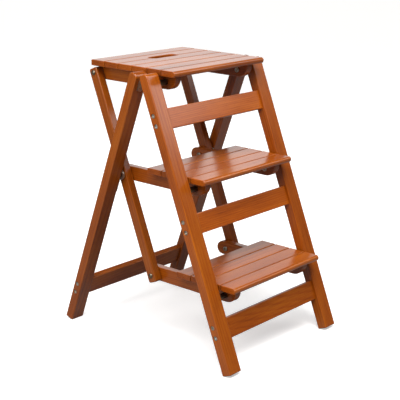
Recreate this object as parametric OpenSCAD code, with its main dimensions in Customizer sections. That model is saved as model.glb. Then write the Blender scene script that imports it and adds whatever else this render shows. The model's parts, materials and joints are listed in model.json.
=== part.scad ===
// Folding wooden step ladder with three slatted steps.
// X runs across the ladder, -Y is the climbing side, Z is up and the floor is Z = 0.
// Side shapes are drawn in (Y, Z) and extruded along X.

/* [Overall] */
// Width over the outer faces of the stiles
overall_w = 416; // [340:1:520]
// Height of the top step's upper surface
overall_h = 660; // [560:1:800]
// Height from one step to the next
step_rise = 233; // [190:1:260]
// Backward lean of the front stiles from the vertical, degrees
stile_lean = 22; // [18:0.1:25]
// Forward lean of the rear legs from the vertical, degrees
leg_lean = 19.3; // [15:0.1:24]
// Angle through which the steps fold, degrees
step_fold = 55; // [45:1:56]

/* [Stiles and legs] */
// Width of a stile or leg along X
stile_w = 39; // [30:0.5:48]
// Depth of a front stile
stile_d = 25; // [20:0.5:32]
// Depth of a rear leg
leg_d = 23; // [18:0.5:30]
// How far the stile and leg tops end below the top step's surface
end_drop = 3.5; // [1:0.5:12]
// Corner radius of the stile and leg tops
top_round = 10; // [4:0.5:10]
// Corner radius of the feet
foot_round = 2.5; // [1:0.5:4]

/* [Links] */
// Width of a rear link along X
link_w = 21; // [16:0.5:26]
// Depth of a rear link
link_d = 25; // [20:0.5:32]
// Distance square to the stile from its front line to the link's front face
link_back = 196; // [165:1:235]
// Gap between a leg's inner face and a link's outer face
leg_link_gap = 7; // [6:0.5:10]
// How far a link runs past its lowest pivot
link_tail = 17; // [14:0.5:24]
// How far a link runs past its highest pivot
link_head = 11; // [10:0.5:12]
// Corner radius of the link ends
link_round = 5; // [2:0.5:8]

/* [Steps] */
// Front-to-back width of one board
board_w = 42.5; // [35:0.5:52]
// Gap between neighbouring boards
board_gap = 2; // [1:0.5:4]
// Thickness of a board
board_t = 14; // [12:0.5:18]
// Gap between a board's end and the stile beside it
board_end_gap = 5; // [3:0.5:10]
// Reach of the front board past the front pivots
nose_reach = 47.5; // [40:0.5:58]
// Radius of the front board's rounded nose
nose_round = 6.5; // [3:0.5:7]
// Radius of the other long edges of a board
board_round = 1.5; // [0.5:0.25:2]
// Length of the hand hole along X
hand_l = 88; // [70:1:120]
// How far the hand hole cuts into the board behind it
hand_back = 18; // [14:0.5:28]
// How far the hand hole cuts into the board in front of it
hand_front = 6; // [5:0.5:10]
// Radius of the hand hole's corners
hand_round = 6; // [3:0.5:8]

/* [Bearers] */
// Height of a bearer
bearer_h = 34; // [30:0.5:42]
// Thickness of a bearer along X
bearer_w = 19; // [16:0.5:24]
// Gap between a bearer and the link beside it
link_bearer_gap = 1.5; // [1:0.25:3]
// Setback of a bearer's front end from the nose
bearer_set = 17; // [3:0.5:18]
// Radius of a bearer's lower front corner
bearer_round = 28; // [15:0.5:30]
// How far a lower bearer's rear end runs past its rear pivot
tail_lower = 29; // [20:0.5:34]
// How far the top bearer's rear end runs past its rear pivot
tail_top = 12; // [11:0.5:14]

/* [Rails] */
// Height of a cross rail, along the stiles
rail_h = 47; // [38:0.5:50]
// Thickness of a cross rail
rail_t = 16; // [14:0.5:20]
// Setback of a front rail from the stile's front face
rail_set = 7; // [3:0.5:8]
// Distance down the stile from each front pivot to its rail's top edge, lowest step first
rail_drop = [48, 54, 59];
// Distance up the leg from the floor end to the rear rail's middle
rear_rail_up = 99; // [70:1:140]
// Setback of the rear rail from the leg's rear face
rear_rail_set = 1.5; // [1:0.5:3]

/* [Hinges] */
// Height of the hinge pins below the top step's surface
hinge_drop = 17.5; // [15:0.5:24]
// Distance of a hinge pin from the wood face on each side
pin_off = 4; // [3.5:0.1:5]
// Width of a hinge leaf along X
leaf_w = 18; // [14:0.5:24]
// Length of a hinge leaf from the pin to its round end
leaf_l = 38; // [30:0.5:46]
// Thickness of a hinge leaf
leaf_t = 2; // [1.5:0.1:2.5]
// Distance of a hinge's middle from the stile's outer face
hinge_in = 22; // [17:0.5:24]
// Radius of a hinge pin
pin_r = 1.75; // [1.5:0.05:1.9]
// Radius of a hinge knuckle
knuckle_r = 3.4; // [3.1:0.1:3.4]

/* [Fasteners] */
// Radius of a step pivot bolt
pivot_r = 4; // [3:0.25:4.5]
// Radius of a step pivot bolt's head
pivot_head_r = 6; // [5:0.25:7]
// Radius of the sleeves between the stiles and the bearers
sleeve_r = 7; // [6:0.25:8]
// Depth of the threaded inserts in the stiles
insert_l = 15; // [10:0.5:20]
// Radius of the threaded inserts
insert_r = 6; // [5:0.25:7]
// Radius of a rail bolt
rail_bolt_r = 3; // [2.5:0.25:4]
// Radius of a rail bolt's head
rail_head_r = 5; // [4:0.25:6]
// Distance between the two bolts at a rail's end
rail_bolt_pitch = 24; // [18:0.5:30]
// How far a rail bolt runs into the rail
rail_bolt_in = 30; // [24:0.5:40]
// Radius of a barrel nut
barrel_r = 5; // [4.25:0.25:6]
// Distance of a barrel nut from the rail's end
barrel_in = 21; // [16:0.5:30]
// Radius of a board screw
board_screw_r = 2; // [1.5:0.1:2.5]
// Depth of a board screw in its board
board_screw_in = 9; // [6:0.5:11]
// Thickness of a rest plate
rest_t = 3; // [2:0.25:3]
// Clearance all round between a shaft that turns and its bore
turn_clear = 0.05; // [0.03:0.01:0.1]
// Clearance all round in the bores of the lower rear pivots
open_clear = 0.2; // [0.1:0.05:0.4]
// Clearance all round between a fixed fastener and its hole
fix_clear = 0.02; // [0.01:0.01:0.05]
// Gap between faces that slide past each other
slide_clear = 0.4; // [0.2:0.1:0.6]

/* [Hidden] */
$fn = 48;
eps = 0.01;

wood = "sienna";
wood_light = "peru";
steel = "silver";

bottom = 0;
middle = 1;
top = 2;
left = -1;
right = 1;

lower_boards = 4;
top_boards = 6;
hand_board = 5;

// Layers along X, as distances from the middle plane
half_w = overall_w / 2;
stile_in = half_w - stile_w;
link_out = stile_in - leg_link_gap;
link_in = link_out - link_w;
bearer_out = link_in - link_bearer_gap;
bearer_in = bearer_out - bearer_w;
bearer_mid = (bearer_out + bearer_in) / 2;
board_half = stile_in - board_end_gap;
hinge_x = half_w - hinge_in;

// Lowest point of each member's square end, measured along it, so that its corner meets the floor
function foot_start(depth, lean) =
    (depth * sin(lean) - foot_round * (cos(lean) + sin(lean) - 1)) / cos(lean);
stile_start = foot_start(stile_d, stile_lean);
leg_start = foot_start(leg_d, leg_lean);
stile_end = (overall_h - end_drop) / cos(stile_lean);
leg_end = (overall_h - end_drop) / cos(leg_lean);

// Hinge pin, and the floor line of the legs' rear faces that brings the legs' tops to it
pin_z = overall_h - hinge_drop;
pin_from_stile = pin_z * tan(stile_lean) + (stile_d + pin_off) / cos(stile_lean);
leg_from_stile = pin_from_stile + pin_z * tan(leg_lean) + (leg_d + pin_off) / cos(leg_lean);
function foot_edge(start, lean) = start * sin(lean) + foot_round * (sin(lean) + cos(lean) - 1);
front_edge = foot_edge(stile_start, stile_lean);
rear_edge = leg_from_stile - foot_edge(leg_start, leg_lean);

// The Y origin is halfway between the feet
stile_y = -(front_edge + rear_edge) / 2;
leg_y = stile_y + leg_from_stile;
pin_y = stile_y + pin_from_stile;

// Places on the stile and leg: s is along the member from the floor line, o is across it
function stile_point(s, o) = [stile_y + s * sin(stile_lean) + o * cos(stile_lean),
                              s * cos(stile_lean) - o * sin(stile_lean)];
function stile_s(z, o) = (z + o * sin(stile_lean)) / cos(stile_lean);
function leg_s(p) = -(p[0] - leg_y) * sin(leg_lean) + p[1] * cos(leg_lean);
function leg_o(p) = (leg_y - p[0]) * cos(leg_lean) - p[1] * sin(leg_lean);

// Step levels and pivots: the pivots sit at half the bearer's height
step_z = [for (i = [bottom:top]) overall_h - (top - i) * step_rise];
pivot_z = [for (z = step_z) z - board_t - bearer_h / 2];
front_pivot_s = [for (z = pivot_z) stile_s(z, stile_d / 2)];
rear_pivot_s = [for (z = pivot_z) stile_s(z, link_back + link_d / 2)];
front_pivot = [for (s = front_pivot_s) stile_point(s, stile_d / 2)];
rear_pivot = [for (s = rear_pivot_s) stile_point(s, link_back + link_d / 2)];
step_front = [for (p = front_pivot) p[0] - nose_reach];
board_pitch = board_w + board_gap;
// Place of the front board's screws, as a share of its width from the nose
nose_screw = 0.72;
function board_y(step, i) = step_front[step] + (i - 1) * board_pitch;
function step_boards(step) = step == top ? top_boards : lower_boards;

// Rails: middle of each front rail along the stile
rail_mid = [for (i = [bottom:top]) front_pivot_s[i] - rail_drop[i] - rail_h / 2];
rail_ends = [-rail_bolt_pitch / 2, rail_bolt_pitch / 2];
rail_head_t = 3;
rail_head_sink = 0.8;
rail_key_r = 1.9;
rail_key_deep = 1.6;

// Hardware
pivot_head_t = 3;
pivot_dome_t = 1.2;
pivot_dome_r = 4.6;
nut_r = 6.5;
nut_t = 5;
nut_over = 1;
barrel_floor = 3;
leaf_gap = 0.2;
leaf_screws = [14, leaf_l - leaf_w / 2];
leaf_screw_r = 1.8;
leaf_head_r = 3.6;
leaf_screw_l = 15;
board_head_r = 4;
board_head_t = 3;
board_head_deep = 8;
rest_lobe_r = 12;
rest_arm_l = 46;
rest_arm_edge = 2;
rest_web_h = 20;
rest_screws = [22, 38];
rest_screw_r = 1.8;
rest_head_r = 3.4;
rest_screw_l = 14;
rest_clear = 0.3;

// Rectangle with its low corner at the origin and a radius at each corner,
// in the order low left, low right, high right, high left
module bar2d(w, h, r) {
    corners = [[0, 0], [w, 0], [w, h], [0, h]];
    difference() {
        square([w, h]);
        for (i = [0:3])
            translate(corners[i]) rotate(90 * i) difference() {
                translate([-eps, -eps]) square(r[i] + eps);
                translate([r[i], r[i]]) circle(r[i]);
            }
    }
}

// Extrudes a (Y, Z) shape along X, from x to x + w on the right side, mirrored for the left side
module slab(side, x, w) {
    mirror([side < 0 ? 1 : 0, 0, 0]) translate([x, 0, 0]) rotate([90, 0, 90]) linear_extrude(w) children();
}

// Extrudes a (Y, Z) shape along X across the middle plane
module across(half) {
    translate([-half, 0, 0]) rotate([90, 0, 90]) linear_extrude(2 * half) children();
}

// Round bar along X at a (Y, Z) place, from x to x + w on the given side
module rod(side, p, x, w, r) {
    slab(side, x, w) translate(p) circle(r);
}

// Moves a (o, s) shape onto the stile, and a (-o, s) shape onto the leg
module on_stile() {
    translate([stile_y, 0]) rotate(-stile_lean) children();
}
module on_leg() {
    translate([leg_y, 0]) rotate(leg_lean) children();
}

// The same placings for solids, with X kept across the ladder
module at_stile(o, s) {
    translate([0, stile_y, 0]) rotate([-stile_lean, 0, 0]) translate([0, o, s]) children();
}
module at_leg(o, s) {
    translate([0, leg_y, 0]) rotate([leg_lean, 0, 0]) translate([0, -o, s]) children();
}

// One solid on each side of the middle plane
module both_sides() {
    for (side = [left, right]) mirror([side < 0 ? 1 : 0, 0, 0]) children();
}

// Countersunk wood screw pointing along -Z, its head flush with Z = 0
module wood_screw(r, head_r, l, extra = 0) {
    translate([0, 0, -(head_r - r)]) cylinder(r1 = r + extra, r2 = head_r + extra, h = head_r - r);
    translate([0, 0, -l]) cylinder(r = r + extra, h = l - (head_r - r) + eps);
}

// Bolt along +X from its head's outer face at x = 0, with a hexagonal key recess
module rail_bolt(l) {
    rotate([0, 90, 0]) difference() {
        union() {
            cylinder(r = rail_head_r, h = rail_head_t);
            cylinder(r = rail_bolt_r, h = l);
        }
        translate([0, 0, -eps]) cylinder(r = rail_key_r, h = rail_key_deep, $fn = 6);
    }
}

// Hole in a stile or leg for a rail bolt, from the outer face
module rail_bolt_hole() {
    rotate([0, 90, 0]) {
        translate([0, 0, -eps])
            cylinder(r = rail_head_r + fix_clear, h = rail_head_sink + rail_head_t + eps);
        cylinder(r = rail_bolt_r + fix_clear, h = stile_w + eps);
    }
}

// Places children at both bolt positions of a rail's left end, pointing inwards from the outer face
module at_rail_bolts() {
    for (d = rail_ends) translate([-half_w, 0, d]) children();
}

module stile(side) {
    color(wood_light) difference() {
        slab(side, stile_in, stile_w) on_stile() translate([0, stile_start])
            bar2d(stile_d, stile_end - stile_start, [foot_round, foot_round, top_round, top_round]);
        mirror([side > 0 ? 1 : 0, 0, 0]) for (s = rail_mid)
            at_stile(rail_set + rail_t / 2, s) at_rail_bolts() rail_bolt_hole();
        for (p = front_pivot)
            rod(side, p, stile_in - eps, insert_l + eps, insert_r + fix_clear);
        mirror([side < 0 ? 1 : 0, 0, 0]) at_stile(stile_d, pin_on_stile) stile_leaf_screws(fix_clear);
    }
}

// Rail between the stiles in its own frame: X across, Y from its front face, Z from its middle
module rail_board() {
    color(wood) difference() {
        translate([-stile_in, 0, -rail_h / 2]) cube([2 * stile_in, rail_t, rail_h]);
        both_sides() at_rail_bolts() translate([0, rail_t / 2, 0]) {
            rotate([0, 90, 0]) cylinder(r = rail_bolt_r + fix_clear, h = stile_w + rail_bolt_in);
            translate([stile_w + barrel_in, rail_t / 2 + eps, 0])
                rotate([90, 0, 0])
                    cylinder(r = barrel_r + fix_clear, h = rail_t - barrel_floor);
        }
    }
}

// Barrel nut in the rail's own frame, at one bolt
module barrel_nut() {
    difference() {
        translate([stile_w + barrel_in, rail_t / 2 - 0.5, 0])
            rotate([90, 0, 0])
                cylinder(r = barrel_r, h = rail_t - barrel_floor - 0.5 - 2 * eps);
        rotate([0, 90, 0]) cylinder(r = rail_bolt_r + fix_clear, h = stile_w + rail_bolt_in + 1);
    }
}

module front_rail(step) {
    at_stile(rail_set, rail_mid[step]) rail_board();
}

module front_rail_bolts() {
    color(steel) for (s = rail_mid) at_stile(rail_set + rail_t / 2, s) both_sides() at_rail_bolts()
        translate([rail_head_sink, 0, 0]) rail_bolt(stile_w + rail_bolt_in - rail_head_sink - 1);
}

module front_rail_barrel_nuts() {
    color(steel) for (s = rail_mid) at_stile(rail_set + rail_t / 2, s) both_sides() at_rail_bolts()
        barrel_nut();
}

module front_pivot_bolts() {
    color(steel) for (side = [left, right], p = front_pivot) {
        rod(side, p, bearer_in - slide_clear, stile_in + insert_l - 1 - bearer_in + slide_clear, pivot_r);
        rod(side, p, bearer_in - slide_clear - pivot_head_t, pivot_head_t, pivot_head_r);
    }
}

module front_pivot_sleeves() {
    color(steel) for (side = [left, right], p = front_pivot) difference() {
        rod(side, p, bearer_out + slide_clear, stile_in - bearer_out - slide_clear, sleeve_r);
        rod(side, p, bearer_out, stile_in - bearer_out + 1, pivot_r + fix_clear);
    }
}

module front_pivot_inserts() {
    color(steel) for (side = [left, right], p = front_pivot) difference() {
        rod(side, p, stile_in, insert_l, insert_r);
        rod(side, p, stile_in - 1, insert_l + 2, pivot_r + fix_clear);
    }
}

// Hinge pin places along the stile and the leg
pin_on_stile = stile_s(pin_z, stile_d + pin_off);
pin_on_leg = leg_s([pin_y, pin_z]);
knuckle_l = (leaf_w - 2 * leaf_gap) / 3;

// Leaf against a wood face in its own frame: X along the pin, Y out of the wood, Z along the member,
// with the pin at Z = 0. The knuckles are given by their start positions along X.
module leaf(starts, bore_r) {
    difference() {
        union() {
            translate([-leaf_w / 2, 0, leaf_w / 2 - leaf_l])
                cube([leaf_w, leaf_t, leaf_l - leaf_w / 2 - pin_off]);
            translate([0, leaf_t, leaf_w / 2 - leaf_l])
                rotate([90, 0, 0]) cylinder(r = leaf_w / 2, h = leaf_t);
            for (x = starts) {
                translate([x, 0, -pin_off - eps]) cube([knuckle_l, leaf_t, pin_off + eps]);
                translate([x, pin_off, 0]) rotate([0, 90, 0]) cylinder(r = knuckle_r, h = knuckle_l);
            }
        }
        translate([-leaf_w, pin_off, 0]) rotate([0, 90, 0]) cylinder(r = bore_r, h = 2 * leaf_w);
        for (d = leaf_screws) translate([0, leaf_t, -d]) rotate([-90, 0, 0])
            wood_screw(leaf_screw_r, leaf_head_r, leaf_screw_l, fix_clear);
    }
}

outer_knuckles = [-leaf_w / 2, leaf_w / 2 - knuckle_l];
middle_knuckle = [-knuckle_l / 2];

module stile_leaf_screws(extra) {
    for (d = leaf_screws) translate([hinge_x, leaf_t, -d]) rotate([-90, 0, 0])
        wood_screw(leaf_screw_r, leaf_head_r, leaf_screw_l, extra);
}

module leg_leaf_screws(extra) {
    for (d = leaf_screws) translate([hinge_x, -leaf_t, -d]) rotate([90, 0, 0])
        wood_screw(leaf_screw_r, leaf_head_r, leaf_screw_l, extra);
}

module hinge_front_leaves() {
    color(steel) both_sides() at_stile(stile_d, pin_on_stile) translate([hinge_x, 0, 0])
        leaf(outer_knuckles, pin_r + fix_clear);
}

module hinge_rear_leaves() {
    color(steel) both_sides() at_leg(leg_d, pin_on_leg) translate([hinge_x, 0, 0])
        mirror([0, 1, 0]) leaf(middle_knuckle, pin_r + turn_clear);
}

module hinge_pins() {
    color(steel) both_sides() translate([hinge_x - leaf_w / 2, pin_y, pin_z]) rotate([0, 90, 0])
        cylinder(r = pin_r, h = leaf_w);
}

module hinge_front_screws() {
    color(steel) both_sides() at_stile(stile_d, pin_on_stile) stile_leaf_screws(0);
}

module hinge_rear_screws() {
    color(steel) both_sides() at_leg(leg_d, pin_on_leg) leg_leaf_screws(0);
}

module leg(side) {
    color(wood_light) difference() {
        slab(side, stile_in, stile_w) on_leg() translate([-leg_d, leg_start])
            bar2d(leg_d, leg_end - leg_start, [foot_round, foot_round, top_round, top_round]);
        mirror([side > 0 ? 1 : 0, 0, 0]) at_leg(rear_rail_set + rail_t / 2, rear_rail_up)
            at_rail_bolts() rail_bolt_hole();
        mirror([side < 0 ? 1 : 0, 0, 0]) {
            at_leg(leg_d, pin_on_leg) leg_leaf_screws(fix_clear);
            rest_screw_places() wood_screw(rest_screw_r, rest_head_r, rest_screw_l, fix_clear);
        }
    }
}

module rear_rail() {
    at_leg(rear_rail_set + rail_t, rear_rail_up) rail_board();
}

module rear_rail_bolts() {
    color(steel) at_leg(rear_rail_set + rail_t / 2, rear_rail_up) both_sides() at_rail_bolts()
        translate([rail_head_sink, 0, 0]) rail_bolt(stile_w + rail_bolt_in - rail_head_sink - 1);
}

module rear_rail_barrel_nuts() {
    color(steel) at_leg(rear_rail_set + rail_t / 2, rear_rail_up) both_sides() at_rail_bolts()
        barrel_nut();
}

// Rest plate on each leg's inner face. The middle rear pivot's head drops into its notch, which
// carries the steps and keeps the legs from spreading.
rest_s = leg_s(rear_pivot[middle]);
rest_o = leg_o(rear_pivot[middle]);
// Direction in which the head first leaves the notch, as the step folds up and the leg folds in
leg_ratio = (stile_lean + leg_lean) / step_fold;
rest_up = rear_pivot[middle][0] - front_pivot[middle][0] + leg_ratio * (rear_pivot[middle][0] - pin_y);
rest_back = leg_ratio * (pin_z - rear_pivot[middle][1]);
rest_way = atan2(rest_up, rest_back);

module rest_screw_places() {
    for (d = rest_screws) at_leg(leg_d / 2, rest_s - d) translate([stile_in - rest_t, 0, 0])
        rotate([0, -90, 0]) children();
}

// Side shape of a rest plate: an arm down the leg, a lobe round the pivot, a web from the leg's
// middle to the lobe, and a notch out of the lobe
module rest_shape() {
    difference() {
        on_leg() {
            translate([rest_arm_edge - leg_d, rest_s - rest_arm_l])
                square([leg_d - 2 * rest_arm_edge, rest_arm_l]);
            translate([-rest_o, rest_s]) circle(rest_lobe_r);
            translate([-max(rest_o, leg_d / 2), rest_s - rest_web_h / 2])
                square([abs(rest_o - leg_d / 2), rest_web_h]);
        }
        translate(rear_pivot[middle]) rotate(rest_way) translate([0, -pivot_head_r - rest_clear])
            square([2 * rest_lobe_r, 2 * (pivot_head_r + rest_clear)]);
    }
}

module rest_plates() {
    color(steel) both_sides() difference() {
        slab(right, stile_in - rest_t, rest_t) rest_shape();
        rod(right, rear_pivot[middle], stile_in - rest_t - 1, rest_t + 2, pivot_head_r + rest_clear);
        rest_screw_places() wood_screw(rest_screw_r, rest_head_r, rest_screw_l, fix_clear);
    }
}

module rest_plate_screws() {
    color(steel) both_sides() rest_screw_places() wood_screw(rest_screw_r, rest_head_r, rest_screw_l);
}

module link(side) {
    low = rear_pivot_s[bottom] - link_tail;
    high = rear_pivot_s[top] + link_head;
    color(wood) difference() {
        slab(side, link_in, link_w) on_stile() translate([link_back, low])
            bar2d(link_d, high - low, [link_round, link_round, link_round, link_round]);
        for (p = rear_pivot) rod(side, p, link_in - 1, link_w + 2, pivot_r + fix_clear);
    }
}

// Domed head on the link's outer face, shank through the link and the bearer
module rear_pivot_bolts() {
    nut_face = bearer_in - slide_clear;
    color(steel) for (side = [left, right], p = rear_pivot) {
        rod(side, p, nut_face - nut_t + nut_over, link_out - nut_face + nut_t - nut_over, pivot_r);
        mirror([side < 0 ? 1 : 0, 0, 0]) translate([link_out, p[0], p[1]]) rotate([0, 90, 0]) {
            cylinder(r = pivot_head_r, h = pivot_head_t);
            translate([0, 0, pivot_head_t])
                cylinder(r1 = pivot_head_r, r2 = pivot_dome_r, h = pivot_dome_t);
        }
    }
}

module rear_pivot_washers() {
    color(steel) for (side = [left, right], p = rear_pivot) difference() {
        rod(side, p, bearer_out + slide_clear, link_bearer_gap - slide_clear, sleeve_r);
        rod(side, p, bearer_out, link_bearer_gap + 1, pivot_r + fix_clear);
    }
}

module rear_pivot_nuts() {
    nut_face = bearer_in - slide_clear;
    color(steel) for (side = [left, right], p = rear_pivot) difference() {
        mirror([side < 0 ? 1 : 0, 0, 0]) translate([nut_face - nut_t, p[0], p[1]]) rotate([0, 90, 0])
            cylinder(r = nut_r, h = nut_t, $fn = 6);
        rod(side, p, nut_face - nut_t + nut_over, nut_t, pivot_r + fix_clear);
    }
}

module bearer(step, side) {
    front = step_front[step] + bearer_set;
    boards_end = board_y(step, step_boards(step)) + board_w;
    back = max(rear_pivot[step][0] + (step == top ? tail_top : tail_lower), boards_end);
    low = pivot_z[step] - bearer_h / 2;
    rear_round = bearer_h / 2;
    color(wood) difference() {
        slab(side, bearer_in, bearer_w) translate([front, low])
            bar2d(back - front, bearer_h, [bearer_round, rear_round, rear_round, board_round]);
        rod(side, front_pivot[step], bearer_in - 1, bearer_w + 2, pivot_r + turn_clear);
        rod(side, rear_pivot[step], bearer_in - 1, bearer_w + 2,
            pivot_r + (step == top ? turn_clear : open_clear));
        board_screw_places(step, side) board_screw(fix_clear, true);
    }
}

// Board number i, counted from the front
module board(step, i) {
    front_r = i == 1 ? nose_round : board_round;
    y = board_y(step, i);
    z = step_z[step] - board_t;
    color(wood_light) difference() {
        across(board_half) translate([y, z])
            bar2d(board_w, board_t, [front_r, board_round, board_round, front_r]);
        if (step == top && (i == hand_board || i == hand_board - 1))
            translate([-hand_l / 2, board_y(top, hand_board) - board_gap - hand_front, z - 1])
                linear_extrude(board_t + 2)
                    bar2d(hand_l, hand_front + board_gap + hand_back,
                          [hand_round, hand_round, hand_round, hand_round]);
        for (side = [left, right]) board_screw_places(step, side) board_screw(fix_clear, false);
    }
}

// Places of the board screws on a bearer, at the bearer's lower face: along the middles of the
// boards, but further back under the front board, behind the bearer's round
module board_screw_places(step, side) {
    for (i = [1:step_boards(step)])
        translate([side * bearer_mid, board_y(step, i) + (i == 1 ? nose_screw : 0.5) * board_w,
                   pivot_z[step] - bearer_h / 2])
            children();
}

// Screw upwards through a bearer into a board. A hole for it has its counterbore open below.
module board_screw(extra, is_hole) {
    head_low = is_hole ? -1 : board_head_deep;
    translate([0, 0, head_low])
        cylinder(r = board_head_r + extra, h = board_head_deep + board_head_t - head_low);
    translate([0, 0, board_head_deep])
        cylinder(r = board_screw_r + extra, h = bearer_h - board_head_deep + board_screw_in);
}

module board_screws(step) {
    color(steel) for (side = [left, right]) board_screw_places(step, side) board_screw(0, false);
}

stile(left);  // stile_left
stile(right);  // stile_right
front_rail(bottom);  // front_rail_bottom
front_rail(middle);  // front_rail_middle
front_rail(top);  // front_rail_top
front_rail_bolts();
front_rail_barrel_nuts();
front_pivot_bolts();
front_pivot_sleeves();
front_pivot_inserts();
hinge_front_leaves();
hinge_pins();
hinge_front_screws();
leg(left);  // leg_left
leg(right);  // leg_right
rear_rail();
rear_rail_bolts();
rear_rail_barrel_nuts();
hinge_rear_leaves();
hinge_rear_screws();
rest_plates();
rest_plate_screws();
link(left);  // link_left
link(right);  // link_right
rear_pivot_bolts();
rear_pivot_washers();
rear_pivot_nuts();
bearer(bottom, left);  // bottom_bearer_left
bearer(bottom, right);  // bottom_bearer_right
board(bottom, 1);  // bottom_board_1
board(bottom, 2);  // bottom_board_2
board(bottom, 3);  // bottom_board_3
board(bottom, 4);  // bottom_board_4
board_screws(bottom);  // bottom_board_screws
bearer(middle, left);  // middle_bearer_left
bearer(middle, right);  // middle_bearer_right
board(middle, 1);  // middle_board_1
board(middle, 2);  // middle_board_2
board(middle, 3);  // middle_board_3
board(middle, 4);  // middle_board_4
board_screws(middle);  // middle_board_screws
bearer(top, left);  // top_bearer_left
bearer(top, right);  // top_bearer_right
board(top, 1);  // top_board_1
board(top, 2);  // top_board_2
board(top, 3);  // top_board_3
board(top, 4);  // top_board_4
board(top, 5);  // top_board_5
board(top, 6);  // top_board_6
board_screws(top);  // top_board_screws
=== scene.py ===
import json
import math

import bmesh
import bpy
import numpy as np
from mathutils import Matrix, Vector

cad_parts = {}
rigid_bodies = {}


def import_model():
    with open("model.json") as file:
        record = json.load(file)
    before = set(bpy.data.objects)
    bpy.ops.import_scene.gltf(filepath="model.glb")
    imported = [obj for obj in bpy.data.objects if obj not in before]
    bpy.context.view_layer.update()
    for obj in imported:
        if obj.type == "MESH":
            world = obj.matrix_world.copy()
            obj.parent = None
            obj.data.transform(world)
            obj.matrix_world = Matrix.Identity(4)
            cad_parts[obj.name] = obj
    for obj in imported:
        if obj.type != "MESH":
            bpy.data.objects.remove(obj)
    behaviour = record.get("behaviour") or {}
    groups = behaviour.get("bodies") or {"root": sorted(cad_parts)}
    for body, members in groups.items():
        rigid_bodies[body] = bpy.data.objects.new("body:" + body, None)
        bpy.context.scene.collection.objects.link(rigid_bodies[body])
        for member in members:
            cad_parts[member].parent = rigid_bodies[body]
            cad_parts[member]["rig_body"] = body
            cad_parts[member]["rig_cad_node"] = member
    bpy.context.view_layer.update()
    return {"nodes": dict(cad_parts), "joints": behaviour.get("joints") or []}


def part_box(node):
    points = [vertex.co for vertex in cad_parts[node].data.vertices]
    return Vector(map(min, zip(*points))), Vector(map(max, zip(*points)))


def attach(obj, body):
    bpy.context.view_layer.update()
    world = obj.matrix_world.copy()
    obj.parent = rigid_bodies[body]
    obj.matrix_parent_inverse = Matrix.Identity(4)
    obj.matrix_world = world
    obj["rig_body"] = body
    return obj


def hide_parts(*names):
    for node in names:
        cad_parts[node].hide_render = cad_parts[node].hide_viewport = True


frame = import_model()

print("frame loaded:", len(frame["nodes"]), "nodes")

mm = 0.001  # sizes of pieces given without it are in millimetres, and are scaled where they are used
stileLean = 22.0  # backward lean of the stiles and links, degrees
legLean = -19.3  # forward lean of the rear legs, degrees
sides = {"left": -1, "right": 1}
levels = ("bottom", "middle", "top")
joints = {joint["name"]: joint for joint in frame["joints"]}


# Rotates (x, y, z) about X so that a member leaning by the angle stands along the last axis
def upright(points, lean):
    a = math.radians(lean)
    x, y, z = np.asarray(points, float).T
    return np.stack([x, y * math.cos(a) - z * math.sin(a), y * math.sin(a) + z * math.cos(a)], 1)


# The opposite of upright: from (x, across, along) of a leaning member back to (x, y, z)
def leaned(points, lean):
    return upright(points, -lean)


# All corner points of a CAD node, in metres
def nodePoints(name):
    mesh = frame["nodes"][name].data
    points = np.empty(len(mesh.vertices) * 3)
    mesh.vertices.foreach_get("co", points)
    return points.reshape(-1, 3)


# Lowest and highest corner of a node in its member's own (x, across, along) directions
def memberBox(name, lean):
    points = upright(nodePoints(name), lean)
    return points.min(0), points.max(0)


# A joint's pivot as (y, z)
def pivotOf(joint):
    return np.array(joints[joint]["pos_m"][1:])


frontPivots = {level: pivotOf(level + "_step_fold") for level in levels}
linkReach = pivotOf("link_pivot") - frontPivots["top"]
rearPivots = {level: place + linkReach for level, place in frontPivots.items()}
hingePin = pivotOf("rear_leg_hinge")
print("pivots:", {level: [round(float(v), 4) for v in place] for level, place in frontPivots.items()})


# An output socket. Arithmetic on it adds Math nodes, so a mask is written as an expression.
class Socket:
    def __init__(self, net, output):
        self.net = net
        self.output = output

    # One Math node on these values
    def maths(self, operation, *values):
        return self.net.node("ShaderNodeMath", {"operation": operation}, dict(enumerate(values)))

    def __add__(self, other):
        return self.maths("ADD", self, other)

    def __sub__(self, other):
        return self.maths("SUBTRACT", self, other)

    def __rsub__(self, other):
        return self.maths("SUBTRACT", other, self)

    def __mul__(self, other):
        return self.maths("MULTIPLY", self, other)

    def __truediv__(self, other):
        return self.maths("DIVIDE", self, other)

    def __pow__(self, other):
        return self.maths("POWER", self, other)

    def __abs__(self):
        return self.maths("ABSOLUTE", self)

    # The value less its whole part
    def fraction(self):
        return self.maths("FRACT", self)

    # The larger of the two values
    def larger(self, other):
        return self.maths("MAXIMUM", self, other)

    # Rises smoothly from 0 to 1 as the value goes from low to high
    def smooth(self, low, high):
        return self.net.node("ShaderNodeMapRange", {"interpolation_type": "SMOOTHSTEP"},
                             {0: self, 1: low, 2: high, 3: 0.0, 4: 1.0})

    __radd__ = __add__
    __rmul__ = __mul__


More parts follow.
